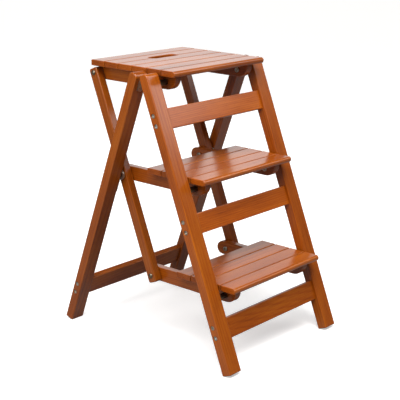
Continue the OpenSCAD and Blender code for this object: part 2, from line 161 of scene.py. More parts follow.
# The node tree of a material or world, built up from nothing
class Net:
    def __init__(self, material):
        material.use_nodes = True
        self.tree = material.node_tree
        self.tree.nodes.clear()

    # Adds one node: its settings first, then the value or link of each socket by name or number.
    def node(self, kind, settings=None, sockets=None, output=0):
        made = self.tree.nodes.new(kind)
        for key, value in (settings or {}).items():
            if key == "stops":
                ramp = made.color_ramp
                while len(ramp.elements) < len(value):
                    ramp.elements.new(1.0)
                for element, (place, colour) in zip(ramp.elements, value):
                    element.position, element.color = place, (*colour, 1.0)
            else:
                setattr(made, key, value)
        for key, value in (sockets or {}).items():
            if isinstance(value, Socket):
                self.tree.links.new(value.output, made.inputs[key])
            else:
                made.inputs[key].default_value = value
        return Socket(self, made.outputs[output] if len(made.outputs) else None)

    # a times (1 - factor) plus b times factor, or for MULTIPLY a times b at factor 1
    def mix(self, factor, a, b, blend="MIX"):
        a, b = (c if isinstance(c, Socket) else (*c, 1.0) for c in (a, b))
        return self.node("ShaderNodeMix", {"data_type": "RGBA", "blend_type": blend},
                         {0: factor, 6: a, 7: b}, output=2)

    # Cloudy values about 0.5, from the position times the scale
    def noise(self, vector, scale, detail, roughness=0.5):
        return self.node("ShaderNodeTexNoise", {}, {"Vector": vector, "Scale": scale, "Detail": detail,
                                                    "Roughness": roughness})

    # Each coordinate times its own amount
    def stretch(self, vector, amounts):
        return self.node("ShaderNodeVectorMath", {"operation": "MULTIPLY"}, {0: vector, 1: amounts})

    # The three coordinates of a vector
    def split(self, vector):
        node = self.node("ShaderNodeSeparateXYZ", {}, {0: vector}).output.node
        return [Socket(self, out) for out in node.outputs]

    # The shader that ends the tree
    def surface(self, sockets):
        shader = self.node("ShaderNodeBsdfPrincipled", {}, sockets)
        end = self.tree.nodes.new("ShaderNodeOutputMaterial")
        self.tree.links.new(shader.output, end.inputs["Surface"])


wood = {
    "dark": (0.150, 0.026, 0.001),
    "mid": (0.300, 0.062, 0.002),
    "light": (0.440, 0.120, 0.006),
    "pore": (0.090, 0.016, 0.001),
    "ringPitch": 4.2 * mm,
    "fibres": 1100.0,  # this and the next three are scales of noise across the grain, per metre
    "strands": 260.0,
    "pores": 1500.0,
    "clouds": 14.0,
    "fibreStretch": 0.028,  # the fibres' scale along the grain, as a share of that across it
    "warpScale": 16.0,
    "warp": 2.6,  # how far the noise shifts the rings, in rings
    "roughness": 0.36,
    "gloss": 0.12,  # of the stained wood itself, under the varnish
    "coat": 0.9,
    "coatRoughness": 0.2,
    "relief": 0.00022,  # depth of the pores and fibres, metres
    "reliefStrength": 0.22,
    "edgeWearAndHighlight": 0.22,  # how far the edges are lightened: partly the stain rubbed through, partly a painted highlight
    "poreDark": 0.45,
}


# Varnished stained hardwood. The grain runs along the last axis after the turn. Growth rings are
# cylinders round a far pith, warped by noise; fibres and pores are noise drawn out along the grain;
# edges, found where the turned normal looks along no axis, are lighter, partly from a thinner stain and
# partly as a painted highlight; ends take it darker.
# The tint multiplies the colour: the members' tints are painted light and shade, lighter on the stiles
# and upper front rails and darker on the legs and links, while the boards' tints are their own tones.
# Warm moves it from blue towards red.
def woodMaterial(name, turn, seed, toneAndPaintedLight=1.0, warm=0.0):
    material = bpy.data.materials.new(name)
    net = Net(material)
    draw = np.random.default_rng(seed)
    pith = draw.uniform(-1, 1, 2) * 0.03
    pith += np.array([0.075, 0.05]) * np.where(draw.random(2) < 0.5, -1, 1)
    start = draw.uniform(-4, 4, 3)
    coords = net.node("ShaderNodeTexCoord", {}, {}).output.node
    place = Socket(net, coords.outputs["Object"])
    facing = Socket(net, coords.outputs["Normal"])
    turn = tuple(math.radians(v) for v in turn)
    grain = net.node("ShaderNodeMapping", {}, {"Vector": place, "Rotation": turn})
    shifted = net.node("ShaderNodeVectorMath", {"operation": "ADD"}, {0: grain, 1: tuple(start)})
    normal = net.node("ShaderNodeMapping", {"vector_type": "VECTOR"},
                      {"Vector": facing, "Rotation": turn})

    slow = net.stretch(shifted, (1.0, 1.0, 0.16))
    warp = net.noise(slow, wood["warpScale"], 3.0) - 0.5
    u, v, w = net.split(grain)
    du, dv = u - float(pith[0]), v - float(pith[1]) + w * float(draw.uniform(-0.05, 0.05))
    radius = (du * du + dv * dv) ** 0.5
    ring = (radius / wood["ringPitch"] + warp * wood["warp"]).fraction()
    late = ring.smooth(0.35, 0.92) * (1.0 - ring.smooth(0.93, 1.0))

    fine = net.stretch(shifted, (1.0, 1.0, wood["fibreStretch"]))
    fibre = net.noise(fine, wood["fibres"], 3.0, 0.6)
    strand = net.noise(fine, wood["strands"], 4.0, 0.65)
    pore = net.noise(net.stretch(shifted, (1.0, 1.0, 0.055)), wood["pores"], 1.0).smooth(0.64, 0.74)
    cloud = net.noise(net.stretch(shifted, (1.0, 1.0, 0.3)), wood["clouds"], 3.0)
    nx, ny, nz = (abs(part) for part in net.split(normal))
    edge = (1.0 - nx.larger(ny).larger(nz)).smooth(0.03, 0.24)
    end = nz.smooth(0.75, 0.97)

    tone = (strand - 0.5) * 0.7 + (fibre - 0.5) * 0.3 + (cloud - 0.5) * 0.8 + 0.54
    tone = tone - late * 0.14 - end * 0.12
    colour = net.node("ShaderNodeValToRGB", {"stops": [
        (0.12, wood["dark"]), (0.5, wood["mid"]), (0.95, wood["light"])]}, {0: tone})
    # lighter edges: partly a thinner stain, partly a painted highlight on the rounded edges
    colour = net.mix(edge * wood["edgeWearAndHighlight"], colour, wood["light"])
    colour = net.mix(pore * wood["poreDark"], colour, wood["pore"])
    shade = (toneAndPaintedLight * (1 + 0.06 * warm), toneAndPaintedLight, toneAndPaintedLight * (1 - 0.15 * warm))
    colour = net.mix(1.0, colour, shade, "MULTIPLY")

    rough = wood["roughness"] + (strand - 0.5) * 0.16 + pore * 0.2 + end * 0.12
    height = (strand - 0.5) * 0.5 + (fibre - 0.5) * 0.6 - pore * 0.8 - late * 0.25
    bump = net.node("ShaderNodeBump", {}, {"Strength": wood["reliefStrength"], "Distance": wood["relief"],
                                           "Height": height})
    net.surface({"Base Color": colour, "Roughness": rough, "Normal": bump, "IOR": 1.5,
                 "Specular IOR Level": wood["gloss"], "Coat Weight": wood["coat"] - end * 0.2,
                 "Coat Roughness": wood["coatRoughness"]})
    return material


zinc = {
    "cool": (0.43, 0.42, 0.40),
    "warm": (0.45, 0.35, 0.22),
    "dull": (0.20, 0.18, 0.16),
    "roughness": 0.34,
    "clouds": 220.0,  # this and the next two are scales of noise, per metre
    "scratches": 2600.0,
    "specks": 900.0,
    "aged": (0.5, 0.46, 0.4),  # this and the next are shades that multiply the plating's colour
    "darkened": (0.3, 0.276, 0.24),
}


# Zinc-plated steel: a cloudy plating tone between cool and yellowish, fine scratches, and dull specks,
# all multiplied by the shade.
def zincMaterial(name, shade=(1.0, 1.0, 1.0)):
    material = bpy.data.materials.new(name)
    net = Net(material)
    place = Socket(net, net.node("ShaderNodeTexCoord", {}, {}).output.node.outputs["Object"])
    cloud = net.noise(place, zinc["clouds"], 4.0, 0.6)
    scratch = net.noise(net.stretch(place, (0.15, 1.0, 1.0)), zinc["scratches"], 2.0)
    speck = net.noise(place, zinc["specks"], 2.0).smooth(0.62, 0.75)
    colour = net.mix(cloud.smooth(0.35, 0.7), zinc["cool"], zinc["warm"])
    colour = net.mix(speck * 0.3, colour, zinc["dull"])
    colour = net.mix(1.0, colour, shade, "MULTIPLY")
    rough = zinc["roughness"] + (cloud - 0.5) * 0.25 + scratch * 0.08 + speck * 0.15
    bump = net.node("ShaderNodeBump", {}, {"Strength": 0.12, "Distance": 0.0001,
                                           "Height": scratch + cloud * 0.4})
    net.surface({"Base Color": colour, "Metallic": 1.0, "Roughness": rough, "Normal": bump})
    return material


zincPlate = zincMaterial("zinc plate")
dimmedPlate = zincMaterial("aged plate", zinc["aged"])
darkSteel = zincMaterial("darkened steel", zinc["darkened"])

smoothAngle = 32  # faces meeting at less than this are shaded as one surface, degrees
holdRow = 0.35 * mm  # spacing of the rows that keep the flats flat beside a rounded edge


# A new mesh object from points and faces, with its normals outwards
def newPiece(name, points, faces, material):
    mesh = bpy.data.meshes.new(name)
    mesh.from_pydata(np.asarray(points, float).tolist(), [], faces)
    bm = bmesh.new()
    bm.from_mesh(mesh)
    bmesh.ops.recalc_face_normals(bm, faces=bm.faces)
    bm.to_mesh(mesh)
    bm.free()
    return finishMesh(bpy.data.objects.new(name, mesh), material)


# Links a piece, shades it smooth but for its sharp edges, and gives it one material
def finishMesh(piece, material):
    if piece.name not in bpy.context.scene.collection.objects:
        bpy.context.scene.collection.objects.link(piece)
    mesh = piece.data
    mesh.polygons.foreach_set("use_smooth", [True] * len(mesh.polygons))
    mesh.set_sharp_from_angle(angle=math.radians(smoothAngle))
    mesh.materials.clear()
    mesh.materials.append(material)
    return piece


# Rings of equally many points joined by quads, and closed with a flat face at each end.
# A loop of rings is joined last to first instead.
def ringFaces(rings, around, loop=False):
    ring = np.arange(rings)
    if not loop:
        ring = ring[:-1]
    j, i = np.meshgrid(ring, np.arange(around), indexing="ij")
    right, up = (i + 1) % around, (j + 1) % rings
    quads = np.stack([j * around + i, j * around + right, up * around + right, up * around + i], -1)
    faces = quads.reshape(-1, 4).tolist()
    if not loop:
        faces += [list(range(around))[::-1], list(range((rings - 1) * around, rings * around))]
    return faces


# Outline of a rectangle with its own radius at each corner, from low-low round to low-high.
# Each corner is an arc with a spare point just beyond both ends. Gives points and outward normals.
def roundedOutline(low, high, radii, perCorner=9):
    corners = [(low[0], low[1]), (high[0], low[1]), (high[0], high[1]), (low[0], high[1])]
    inward = [(1, 1), (-1, 1), (-1, -1), (1, -1)]
    points, normals = [], []
    for k in range(4):
        r = radii[k]
        angle = math.pi * (1 + k / 2) + np.linspace(0, math.pi / 2, perCorner)
        normal = np.stack([np.cos(angle), np.sin(angle)], 1)
        arc = np.array(corners[k]) + np.array(inward[k]) * r + normal * r
        before = np.array([[-normal[0, 1], normal[0, 0]]]) * -holdRow
        after = np.array([[-normal[-1, 1], normal[-1, 0]]]) * holdRow
        points += [arc[:1] + before, arc, arc[-1:] + after]
        normals += [normal[:1], normal, normal[-1:]]
    return np.concatenate(points), np.concatenate(normals)


# A side outline carried straight from start to end. Near both ends the outline draws in along its
# normals by soft * (1 - sin t) while moving soft * (1 - cos t), which rounds the edges.
def carried(outline, normals, start, end, soft, steps=5):
    t = np.linspace(0, math.pi / 2, steps)
    draw, move = soft * (1 - np.sin(t)), soft * (1 - np.cos(t))
    draw = np.concatenate([[soft + holdRow], draw, [0.0]])
    move = np.concatenate([[0.0], move, [soft + holdRow]])
    draw, where = np.concatenate([draw, draw[::-1]]), np.concatenate([start + move, end - move[::-1]])
    flat = outline[None] - normals[None] * draw[:, None, None]
    across = np.broadcast_to(where[:, None, None], flat.shape[:2] + (1,))
    points = np.concatenate([across, flat], -1).reshape(-1, 3)
    return points, ringFaces(len(where), len(outline))


noHex = 99.0  # a radius beyond all others, so that the circle or the hexagon alone counts


# Rows of (round radius, hexagon radius, height) turned about the axis: each ring is the smaller of
# the circle and the hexagon, whose radius is R cos 30 / cos((angle mod 60) - 30).
def turned(rows, around=48, loop=False):
    angle = np.arange(around) * 2 * math.pi / around
    sixth = np.mod(angle, math.pi / 3) - math.pi / 6
    rows = np.array(rows, float)
    hexagon = rows[:, 1:2] * math.cos(math.pi / 6) / np.cos(sixth)[None]
    radius = np.minimum(rows[:, :1], hexagon)
    height = np.broadcast_to(rows[:, 2:], radius.shape)
    points = np.stack([radius * np.cos(angle), radius * np.sin(angle), height], -1) * mm
    return points.reshape(-1, 3), ringFaces(len(rows), around, loop)


# Copies of one shape, each put in place by a matrix, as one set of points and faces
def copies(shape, matrices):
    points, faces = shape
    stack = np.array([np.array(m) for m in matrices])
    moved = np.einsum("mij,nj->mni", stack[:, :3, :3], points) + stack[:, None, :3, 3]
    count = len(points)
    allFaces = [[i + k * count for i in face] for k in range(len(matrices)) for face in faces]
    return moved.reshape(-1, 3), allFaces


# Cuts shapes out of a piece, then keeps the result as its mesh
def cut(piece, shape, material):
    cutter = newPiece("cutter", *shape, material)
    modifier = piece.modifiers.new("cut", "BOOLEAN")
    modifier.operation, modifier.object, modifier.solver = "DIFFERENCE", cutter, "EXACT"
    graph = bpy.context.evaluated_depsgraph_get()
    mesh = bpy.data.meshes.new_from_object(piece.evaluated_get(graph))
    piece.modifiers.clear()
    piece.data = mesh
    bpy.data.objects.remove(cutter)
    return finishMesh(piece, material)


# A mesh as points and faces
def meshShape(mesh):
    points = np.empty(len(mesh.vertices) * 3)
    mesh.vertices.foreach_get("co", points)
    return points.reshape(-1, 3), [list(face.vertices) for face in mesh.polygons]


# A matrix that sets a shape's Z axis along a direction, at a place, and spins it about that axis. The
# spins given below only keep fasteners from standing all alike.
def facing(place, direction, spin=0.0):
    z = np.array(direction, float) / np.linalg.norm(direction)
    x = np.cross([0.0, 1.0, 0.0], z) if abs(z[1]) < 0.9 else np.cross([1.0, 0.0, 0.0], z)
    x /= np.linalg.norm(x)
    matrix = np.eye(4)
    matrix[:3, :3] = np.stack([x, np.cross(z, x), z], 1)
    matrix[:3, 3] = place
    return Matrix(matrix.tolist()) @ Matrix.Rotation(spin, 4, "Z")


# Sets a piece on its body, in place of its CAD nodes. The slot is not used.
def settle(piece, body, slot, *nodes):
    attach(piece, body)
    if nodes:
        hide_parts(*nodes)
    return piece


# Turns that bring the grain of boards and bearers along the pattern's last axis, degrees
grainAcross, grainBack = (0, -90, 0), (90, 0, 0)

# Each family's corner radii in side view, from low front round to high front, and its edges' softness
# The families' tints are painted light and shade: the stiles and the upper front rails are lighter where
# the light falls on them, and the legs and links are darker where they stand in shade
stiles = {"radii": (2.5, 2.5, 10, 10), "soft": 2.2, "lean": stileLean, "body": "front_frame",
          "toneAndPaintedLight": 1.04, "warm": 0.3}
legs = {"radii": (2.5, 2.5, 10, 10), "soft": 2.2, "lean": legLean, "body": "rear_frame",
        "toneAndPaintedLight": 0.88, "warm": 0.0}
links = {"radii": (5, 5, 5, 5), "soft": 2.0, "lean": stileLean, "body": "rear_links",
         "toneAndPaintedLight": 0.8, "warm": 0.0}
bearers = {"radii": (28, 17, 17, 1.5), "soft": 2.0, "toneAndPaintedLight": 0.97}
rails = {"radii": (1.8, 1.8, 1.8, 1.8), "soft": 0.5, "warm": 0.4,
         "lean": {"front_rail_bottom": stileLean, "front_rail_middle": stileLean,
                  "front_rail_top": stileLean, "rear_rail": legLean},
         "toneAndPaintedLight": {"front_rail_bottom": 1.0, "front_rail_middle": 1.2, "front_rail_top": 1.2,
                  "rear_rail": 1.0}}
boards = {"nose": 6.5, "edge": 1.5, "soft": 1.5,
          "tints": {"bottom": (1.06, 1.0, 1.08, 1.03), "middle": (1.06, 1.12, 1.02, 1.1),
                    "top": (1.0, 0.94, 1.04, 0.97, 1.02, 0.95)}}
# The hand hole's length, and its depths into the board before it and the board behind it
handHole = {"length": 88 * mm, "front": 6 * mm, "back": 18 * mm, "corner": 6 * mm}

seeds = iter(range(18, 2000, 7))  # one for each wooden piece's own grain


# One member: the rounded outline of its CAD box in its own directions, carried across the ladder
def member(node, lean, radii, soft, turn, toneAndPaintedLight=1.0, warm=0.0):
    low, high = memberBox(node, lean)
    radii = [max(r * mm, soft * mm + 1.2 * holdRow) for r in radii]
    outline, normals = roundedOutline(low[1:], high[1:], radii)
    points, faces = carried(outline, normals, low[0], high[0], soft * mm)
    material = woodMaterial(node + " wood", turn, next(seeds), toneAndPaintedLight, warm)
    return newPiece(node + "_wood", leaned(points, lean), faces, material)


# A drill along Z that leaves a round hole with a slightly broken edge
def drillShape(radius, depth, chamfer=0.45):
    rows = [(radius + chamfer + 1, noHex, -1), (radius, noHex, chamfer), (radius, noHex, depth)]
    return turned(rows, 40)


railBolts = {"pitch": 24 * mm, "sunk": 0.8, "headRadius": 5.0, "headHeight": 3.0, "shank": 3.0,
             "length": 67.2, "key": 2.5, "keyDepth": 1.3, "hole": 5.45}
barrelNuts = {"radius": 5.0, "inset": 21 * mm, "sunk": 0.5, "depth": 12.4, "slotWidth": 1.3,
              "slotDepth": 1.2, "hole": 5.15}
boardScrews = {"sunk": 8.0, "headRadius": 4.0, "headHeight": 3.0, "shank": 2.0, "length": 35.0,
               "share": 0.5, "frontShare": 0.72}  # shares of a board's width, from its front edge
halfWidth = float(memberBox("stile_right", stileLean)[1][0])
stileInner = float(memberBox("stile_right", stileLean)[0][0])


# Places of the two bolts at both ends of a rail, as (side, place on the outer face)
def railBoltPlaces(rail, lean):
    low, high = memberBox(rail, lean)
    across, along = (low[1] + high[1]) / 2, (low[2] + high[2]) / 2
    found = []
    for side in sides.values():
        for step in (-0.5, 0.5):
            place = leaned([[side * halfWidth, across, along + step * railBolts["pitch"]]], lean)[0]
            found.append((side, place))
    return found


# Places of a rail's barrel nuts on its rear face, each with the direction into the wood
def barrelNutPlaces(rail, lean):
    low, high = memberBox(rail, lean)
    across, along = stileInner - barrelNuts["inset"], (low[2] + high[2]) / 2
    middles = [[side * across, high[1], along + step * railBolts["pitch"]]
               for side in sides.values() for step in (-0.5, 0.5)]
    inward = leaned([[0, -1, 0]], lean)[0]
    return [(place, inward) for place in leaned(middles, lean)]


boltPlaces = {rail: railBoltPlaces(rail, lean) for rail, lean in rails["lean"].items()}
nutPlaces = {rail: barrelNutPlaces(rail, lean) for rail, lean in rails["lean"].items()}

print("making stiles, legs and links")
for kind, family in (("stile", stiles), ("leg", legs), ("link", links)):
    for sideName, side in sides.items():
        piece = member(f"{kind}_{sideName}", family["lean"], family["radii"], family["soft"],
                       (family["lean"], 0, 0), family["toneAndPaintedLight"], family["warm"])
        if kind != "link":
            holes = [facing(place, (-side, 0, 0)) for rail, found in boltPlaces.items()
                     for s, place in found if s == side and (rail == "rear_rail") == (kind == "leg")]
            drill = drillShape(railBolts["hole"], railBolts["sunk"] + railBolts["headHeight"])
            cut(piece, copies(drill, holes), piece.data.materials[0])
        settle(piece, family["body"], "frame_wood", f"{kind}_{sideName}")

print("making rails")
for rail, lean in rails["lean"].items():
    piece = member(rail, lean, rails["radii"], rails["soft"], (lean, -90, 0), rails["toneAndPaintedLight"][rail],
                   rails["warm"])
    drill = drillShape(barrelNuts["hole"], barrelNuts["depth"])
    cut(piece, copies(drill, [facing(*found) for found in nutPlaces[rail]]), piece.data.materials[0])
    settle(piece, "front_frame" if lean > 0 else "rear_frame", "frame_wood", rail)

print("making steps")


# Where the screws stand under the boards of a step, front to back
def screwRows(level):
    boxes = [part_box(f"{level}_board_{i + 1}") for i in range(len(boards["tints"][level]))]
    shares = [boardScrews["frontShare"]] + [boardScrews["share"]] * (len(boxes) - 1)
    return [low[1] + share * (high[1] - low[1]) for share, (low, high) in zip(shares, boxes)]


# Plan outline of a board with a part of the hand hole in one long edge. Every corner of the rectangle
# and of the notch is a quarter arc.
def notchedOutline(low, high, notchStart, notchEnd, depth, corner, atBack, steps=8):
    sign = -1 if atBack else 1
    edge = high[1] if atBack else low[1]
    far = low[1] if atBack else high[1]
    small = boards["soft"] * mm + 1.2 * holdRow
    width, highY = high[0], abs(far - edge)
    arcs = []

    # Points of an arc between two angles. Its normals point away from the centre, or to it for -1.
    def arc(centre, radius, first, last, turnOut):
        angle = np.radians(np.linspace(first, last, steps))
        ray = np.stack([np.cos(angle), np.sin(angle)], 1)
        arcs.append((np.array(centre) + ray * radius, ray * turnOut))

    # drawn for a notch in the low edge, going round anticlockwise; a back notch mirrors it
    arc((-width + small, small), small, 180, 270, 1)
    arc((notchStart - small, small), small, 270, 360, 1)
    arc((notchStart + corner, depth - corner), corner, 180, 90, -1)
    arc((notchEnd - corner, depth - corner), corner, 90, 0, -1)
    arc((notchEnd + small, small), small, 180, 270, 1)
    arc((width - small, small), small, 270, 360, 1)
    arc((width - small, highY - small), small, 0, 90, 1)
    arc((-width + small, highY - small), small, 90, 180, 1)
    points = np.concatenate([a for a, _ in arcs])
    normals = np.concatenate([b for _, b in arcs])
    points[:, 1] = edge + sign * points[:, 1]
    normals[:, 1] *= sign
    return points, normals


# A board with that notch in its front or back edge
def notchedBoard(node, atBack, depth, toneAndPaintedLight):
    low, high = (np.array(corner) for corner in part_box(node))
    half = handHole["length"] / 2
    corner = min(handHole["corner"], depth - 0.2 * mm)
    outline, normals = notchedOutline(low, high, -half, half, depth, corner, atBack)
    points, faces = carried(outline, normals, low[2], high[2], boards["soft"] * mm)
    material = woodMaterial(node + " wood", grainAcross, next(seeds), toneAndPaintedLight)
    return newPiece(node + "_wood", points[:, [1, 2, 0]], faces, material)


screwShape = drillShape(boardScrews["headRadius"] + 0.2, boardScrews["sunk"])
for level in levels:
    body = level + "_step"
    for i, toneAndPaintedLight in enumerate(boards["tints"][level]):
        node = f"{level}_board_{i + 1}"
        if level == "top" and i in (3, 4):
            depth = handHole["front"] if i == 3 else handHole["back"]
            piece = notchedBoard(node, i == 3, depth, toneAndPaintedLight)
        else:
            front = boards["nose"] if i == 0 else boards["edge"]
            radii = (front, boards["edge"], boards["edge"], front)
            piece = member(node, 0.0, radii, boards["soft"], grainAcross, toneAndPaintedLight)
        settle(piece, body, "board_wood", node)
    for sideName in sides:
        node = f"{level}_bearer_{sideName}"
        piece = member(node, 0.0, bearers["radii"], bearers["soft"], grainBack, bearers["toneAndPaintedLight"])
        low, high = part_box(node)
        middles = [facing(((low[0] + high[0]) / 2, y, low[2]), (0, 0, 1)) for y in screwRows(level)]
        cut(piece, copies(screwShape, middles), piece.data.materials[0])
        settle(piece, body, "frame_wood", node)

print("making fasteners")


# Recess of slim wedges crossing at the middle, each narrowing to a share of itself at its depth
def crossShape(reach, width, depth, narrow=0.45, wedges=2):
    points = []
    for a in (0, math.pi / 2)[:wedges]:
        along, beside = np.array([math.cos(a), math.sin(a)]), np.array([-math.sin(a), math.cos(a)])
        for z, shrink in ((-0.3, 1.0), (depth, narrow)):
            for u, v in ((-1, -1), (1, -1), (1, 1), (-1, 1)):
                flat = (along * u * reach + beside * v * width) * shrink
                points.append((*flat, z))
    box = [[3, 2, 1, 0], [4, 5, 6, 7], [0, 1, 5, 4], [1, 2, 6, 5], [2, 3, 7, 6], [3, 0, 4, 7]]
    return np.array(points) * mm, [[i + 8 * k for i in face] for k in range(wedges) for face in box]


# A turned shape with a recess's wedges cut out one by one, as points and faces, to be copied about
def carved(shape, recess):
    piece = newPiece("blank", *shape, zincPlate)
    points, faces = recess
    for first in range(0, len(points), 8):
        wedge = [[i - first for i in face] for face in faces if first <= face[0] < first + 8]
        cut(piece, (points[first:first + 8], wedge), zincPlate)
    made = meshShape(piece.data)
    bpy.data.objects.remove(piece)
    return made


# One zinc piece for a whole fastener node: a shape copied to its places
def fastenerPiece(node, shape, matrices, body, material=zincPlate):
    piece = newPiece(node + "_zinc", *copies(shape, matrices), material)
    return settle(piece, body, "zinc_fasteners", node)


# Socket head bolt pointing along Z, with the head's outer face at zero. Its hexagonal key hole ends
# in a cone, and the head's edge is rounded.
def socketBolt(settings):
    r, key, height = settings["headRadius"], settings["key"], settings["headHeight"]
    shank, length = settings["shank"], settings["length"]
    rows = [(0.1, noHex, height - 0.2), (noHex, key, settings["keyDepth"]), (noHex, key, 0.25),
            (key + 0.3, noHex, 0.0), (r - 0.75, noHex, 0.0), (r - 0.3, noHex, 0.12),
            (r - 0.05, noHex, 0.45), (r, noHex, 0.8), (r, noHex, height), (shank, noHex, height + 0.01),
            (shank, noHex, length - 1), (shank - 0.9, noHex, length)]
    return turned(rows)


# A rail's bolts point inwards from just under the outer faces
def boltMatrices(rail):
    return [facing(place - np.array([side * railBolts["sunk"] * mm, 0, 0]), (-side, 0, 0), 0.4 * k)
            for k, (side, place) in enumerate(boltPlaces[rail])]


# A rail's barrel nuts point forwards from just under its rear face
def nutMatrices(rail):
    return [facing(place + inward * barrelNuts["sunk"] * mm, inward, 0.15 * k)
            for k, (place, inward) in enumerate(nutPlaces[rail])]


# Barrel nut along Z: a cylinder with eased ends and a screwdriver slot
def barrelNut(settings):
    r, depth = settings["radius"], settings["depth"]
    rows = [(r - 0.4, noHex, 0.0), (r, noHex, 0.4), (r, noHex, depth - 0.8),
            (r - 0.4, noHex, depth - 0.4)]
    slot = crossShape(r + 1, settings["slotWidth"] / 2, settings["slotDepth"], narrow=1.0, wedges=1)
    return carved(turned(rows), slot)


railEnds = {"front": ("front_frame", [rail for rail in rails["lean"] if rail != "rear_rail"]),
            "rear": ("rear_frame", ["rear_rail"])}
for kind, shape, matricesOf in (("bolts", socketBolt(railBolts), boltMatrices),
                                ("barrel_nuts", barrelNut(barrelNuts), nutMatrices)):
    for end, (body, chosen) in railEnds.items():
        fastenerPiece(f"{end}_rail_{kind}", shape, [m for rail in chosen for m in matricesOf(rail)], body)

# Pivot hardware: every piece is turned about X and set at both sides of each pivot
pivots = {"shank": 4.0, "headRadius": 6.0, "headHeight": 3.0, "dome": 1.2, "key": 2.9, "keyDepth": 1.6,
          "bore": 4.02, "ringRadius": 7.0, "nutCorner": 6.5}


# Distances from the middle plane at which a fastener node starts and ends, in millimetres
def spanOf(node):
    x = np.abs(nodePoints(node)[:, 0])
    return float(x.min()) / mm, float(x.max()) / mm


# At both sides of each pivot, at a distance from the middle plane, pointing outwards (1) or inwards (-1)
def atPivots(places, distance, outward):
    return [facing((side * distance * mm, *place), (side * outward, 0, 0), 0.5 * k)
            for side in sides.values() for k, place in enumerate(places)]


start, end = spanOf("front_pivot_bolts")
frontBolt = socketBolt({**pivots, "length": end - start})
fastenerPiece("front_pivot_bolts", frontBolt, atPivots(frontPivots.values(), start, 1), "front_frame")


# Domed bolt along Z from the dome's top at zero. Over a quarter turn t the dome's radius is R sin t and
# its depth is H (1 - cos t).
def domedBolt(settings, length):
    r, shank, height = settings["headRadius"], settings["shank"], settings["headHeight"]
    headEnd = height + settings["dome"]
    rows = [(0.3, noHex, 0.0)]
    for t in np.linspace(0, math.pi / 2, 9)[1:]:
        rows.append((r * math.sin(t), noHex, 0.02 + height * (1 - math.cos(t))))
    rows += [(r, noHex, headEnd), (shank, noHex, headEnd + 0.01), (shank, noHex, length - 0.6),
             (shank - 0.6, noHex, length)]
    return turned(rows)


start, end = spanOf("rear_pivot_bolts")
rearBolt = domedBolt(pivots, end - start)
places = atPivots(rearPivots.values(), end, -1)
# the rear pivot bolts take a plating about half as bright as the others
fastenerPiece("rear_pivot_bolts", rearBolt, places, "rear_links", dimmedPlate)


# A ring: its section's four corners are rounded by small arcs
def ringRows(inner, outer, low, high, edge=0.25):
    corners = [(outer, low, 270), (outer, high, 0), (inner, high, 90), (inner, low, 180)]
    rows = []
    for r, h, first in corners:
        centre = (r - edge if r == outer else r + edge, h + edge if h == low else h - edge)
        for a in np.radians(first + np.linspace(0, 90, 4)):
            rows.append((centre[0] + edge * math.cos(a), noHex, centre[1] + edge * math.sin(a)))
    return rows


for node, places, body in (("front_pivot_sleeves", frontPivots, "front_frame"),
                           ("rear_pivot_washers", rearPivots, "rear_links")):
    start, end = spanOf(node)
    ring = turned(ringRows(pivots["bore"], pivots["ringRadius"], 0.0, end - start), loop=True)
    fastenerPiece(node, ring, atPivots(places.values(), start, 1), body, darkSteel)


# Locknut: a hexagon chamfered at both faces, with a collar on its inner side
def lockNut(corner, bore, height):
    flat = corner * math.cos(math.pi / 6)
    rows = [(bore, noHex, height), (flat - 0.5, noHex, height)]
    rows += [(flat - 0.3 + 1.2 * a, corner, height - 0.7 * a) for a in (0.25, 0.5, 0.75, 1.0)]
    rows += [(noHex, corner, height - 1.0), (noHex, corner, 1.6)]
    rows += [(flat + 0.9 - 1.1 * a, corner, 1.6 - 0.6 * a) for a in (0.0, 0.33, 0.66, 1.0)]
    rows += [(flat - 0.9, noHex, 0.9), (5.0, noHex, 0.3), (4.6, noHex, 0.02), (bore, noHex, 0.0)]
    return turned(rows, loop=True)


start, end = spanOf("rear_pivot_nuts")
nut = lockNut(pivots["nutCorner"], pivots["bore"], end - start)
fastenerPiece("rear_pivot_nuts", nut, atPivots(rearPivots.values(), start, 1), "rear_links")


# Countersunk cross-head screw along Z from its flat head at zero, with a ridged thread
def woodScrew(settings):
    head, shank, length = settings["head"], settings["shank"], settings["length"]
    rows = [(head * 0.93, noHex, 0.0), (head, noHex, 0.12), (shank, noHex, head - shank + 0.12)]
    for z in np.arange(head - shank + 1.5, length - 2.5, 0.6):
        rows += [(shank * 0.8, noHex, z), (shank, noHex, z + 0.3)]
    rows += [(shank * 0.8, noHex, length - 2.2), (0.25, noHex, length)]
    return carved(turned(rows, 32), crossShape(head * 0.52, 0.42, 1.5))


hinges = {"head": 3.6, "shank": 1.8, "length": 15, "down": (14 * mm, 29 * mm), "leaf": 2 * mm,
          "inset": 22 * mm, "pinRadius": 1.75, "pinLength": 18.0}
hingeMiddle = halfWidth - hinges["inset"]
screw = woodScrew(hinges)
for node, holder, lean, face, body in (("hinge_front_screws", "stile_right", stileLean, 1, "front_frame"),
                                       ("hinge_rear_screws", "leg_right", legLean, -1, "rear_frame")):
    low, high = memberBox(holder, lean)
    pin = upright([[0, *hingePin]], lean)[0]
    across = (high[1] if face > 0 else low[1]) + face * hinges["leaf"]
    inward = leaned([[0, -face, 0]], lean)[0]
    matrices = []
    for side in sides.values():
        for k, down in enumerate(hinges["down"]):
            place = leaned([[side * hingeMiddle, across, pin[2] - down]], lean)[0]
            matrices.append(facing(place, inward, 0.6 + 0.9 * k + 0.3 * side))
    fastenerPiece(node, screw, matrices, body)

restScrews = {"head": 3.4, "shank": 1.8, "length": 14, "down": (22 * mm, 38 * mm), "plate": 3 * mm}
screw = woodScrew(restScrews)
low, high = memberBox("leg_right", legLean)
notch = upright([[0, *rearPivots["middle"]]], legLean)[0]
across = (low[1] + high[1]) / 2
matrices = []
for side in sides.values():
    for k, down in enumerate(restScrews["down"]):
        x = side * (stileInner - restScrews["plate"])
        place = leaned([[x, across, notch[2] - down]], legLean)[0]
        matrices.append(facing(place, (side, 0, 0), 0.5 + 0.8 * k))
fastenerPiece("rest_plate_screws", screw, matrices, "rear_frame")


